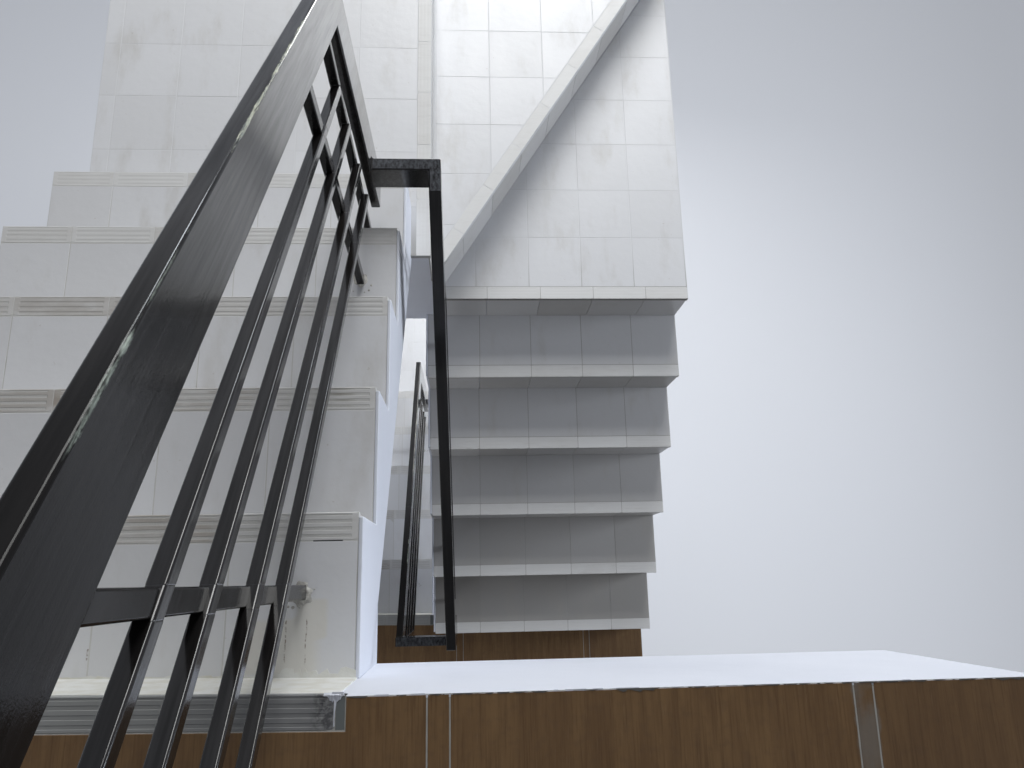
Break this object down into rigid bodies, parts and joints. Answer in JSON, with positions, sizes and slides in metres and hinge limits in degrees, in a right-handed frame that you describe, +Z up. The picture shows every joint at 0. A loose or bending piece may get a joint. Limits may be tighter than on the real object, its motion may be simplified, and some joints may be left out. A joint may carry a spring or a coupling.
{
  "type": "fire escape stair",
  "caption": "Narrow concrete escape stair of two storeys with tiled steps, a winder turn in each storey and one dark metal handrail wrapping down through the closed well.",
  "frame": {"origin": "centre of the underside of the foot of the lowest flight, where it bears on the ground", "axes": "+Z up, +Y along the flights towards the turns, +X across from the first flight of a storey to its second flight"},
  "size_m": [2.055, 2.9599, 6.5154],
  "materials": {
    "painted_plaster": "matt white wall paint on plastered concrete, a little blue in the shade",
    "stair_tile": "satin off-white tile with ribbed nosing, lightly soiled",
    "nosing_tile": "ribbed grey nosing tile, scuffed",
    "board_tile": "brown floor tile with a printed timber grain",
    "railing_paint": "brushed-on gloss enamel, worn through to pale primer along the handrail's edge",
    "mortar": "rough trowelled cement"
  },
  "bodies": {
    "root": {"top_beam": "painted_plaster", "mid_beam": "painted_plaster", "upper_flight_a": "painted_plaster", "upper_turn": "painted_plaster", "upper_flight_b": "painted_plaster", "lower_flight_a": "painted_plaster", "lower_turn": "painted_plaster", "lower_flight_b": "painted_plaster", "top_floor_tiles": "board_tile", "mid_floor_tiles": "board_tile", "top_nosing": "nosing_tile", "mid_nosing": "nosing_tile", "upper_tread_01": "stair_tile", "upper_tread_02": "stair_tile", "upper_tread_03": "stair_tile", "upper_tread_04": "stair_tile", "upper_tread_05": "stair_tile", "upper_tread_06": "stair_tile", "upper_tread_07": "stair_tile", "upper_tread_08": "stair_tile", "upper_tread_09": "stair_tile", "upper_tread_10": "stair_tile", "upper_tread_11": "stair_tile", "upper_tread_12": "stair_tile", "upper_tread_13": "stair_tile", "lower_tread_01": "stair_tile", "lower_tread_02": "stair_tile", "lower_tread_03": "stair_tile", "lower_tread_04": "stair_tile", "lower_tread_05": "stair_tile", "lower_tread_06": "stair_tile", "lower_tread_07": "stair_tile", "lower_tread_08": "stair_tile", "lower_tread_09": "stair_tile", "lower_tread_10": "stair_tile", "lower_tread_11": "stair_tile", "lower_tread_12": "stair_tile", "lower_tread_13": "stair_tile", "upper_handrail": "railing_paint", "lower_handrail": "railing_paint", "upper_bars": "railing_paint", "lower_bars": "railing_paint", "upper_posts": "railing_paint", "lower_posts": "railing_paint", "post_mortar": "mortar"}
  },
  "joints": []
}
